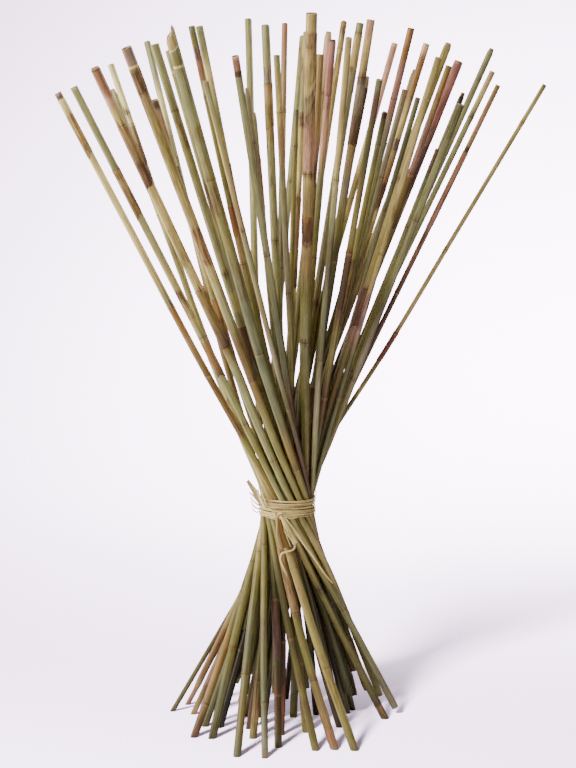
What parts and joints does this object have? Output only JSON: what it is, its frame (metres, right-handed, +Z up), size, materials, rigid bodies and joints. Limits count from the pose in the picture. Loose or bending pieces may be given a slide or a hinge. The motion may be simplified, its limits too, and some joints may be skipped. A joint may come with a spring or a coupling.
{
  "type": "bunch of reeds",
  "caption": "Bunch of dried reed stems tied round the waist with raffia, splayed above and below the tie so that it stands on its cut ends.",
  "frame": {"origin": "centre of the base of the bunch's bounding box, on the floor that the stems stand on", "axes": "+Z up; -Y towards the front, the side with the raffia's knot; +X to the right as seen from the front"},
  "size_m": [0.6018, 0.541, 0.9147],
  "materials": {
    "reed_straw": "satin",
    "reed_tan": "satin",
    "reed_amber": "satin",
    "reed_olive": "satin",
    "reed_sage": "satin",
    "reed_moss": "satin",
    "reed_brown": "satin",
    "reed_rust": "satin",
    "reed_rose": "satin",
    "reed_terracotta": "satin",
    "raffia": "matte"
  },
  "bodies": {
    "root": {"reed_01": "reed_straw", "reed_02": "reed_sage", "reed_03": "reed_olive", "reed_04": "reed_straw", "reed_05": "reed_olive", "reed_06": "reed_amber", "reed_07": "reed_sage", "reed_08": "reed_rust", "reed_09": "reed_olive", "reed_10": "reed_moss", "reed_11": "reed_tan", "reed_12": "reed_brown", "reed_13": "reed_sage", "reed_14": "reed_olive", "reed_15": "reed_sage", "reed_16": "reed_moss", "reed_17": "reed_olive", "reed_18": "reed_brown", "reed_19": "reed_rose", "reed_20": "reed_sage", "reed_21": "reed_terracotta", "reed_22": "reed_moss", "reed_23": "reed_sage", "reed_24": "reed_tan", "reed_25": "reed_straw", "reed_26": "reed_olive", "reed_27": "reed_rose", "reed_28": "reed_sage", "reed_29": "reed_amber", "reed_30": "reed_straw", "reed_31": "reed_brown", "reed_32": "reed_tan", "reed_33": "reed_olive", "reed_34": "reed_rose", "reed_35": "reed_moss", "reed_36": "reed_moss", "reed_37": "reed_moss", "reed_38": "reed_straw", "reed_39": "reed_brown", "reed_40": "reed_terracotta", "reed_41": "reed_olive", "reed_42": "reed_moss", "reed_43": "reed_olive", "reed_44": "reed_amber", "reed_45": "reed_tan", "reed_46": "reed_rust", "reed_47": "reed_brown", "reed_48": "reed_olive", "reed_49": "reed_rose", "reed_50": "reed_moss", "reed_51": "reed_moss", "reed_52": "reed_sage", "reed_53": "reed_tan", "reed_54": "reed_rust", "reed_55": "reed_olive", "raffia_wrap": "raffia", "raffia_knot": "raffia", "raffia_end_long": "raffia", "raffia_end_looped": "raffia"}
  },
  "joints": []
}
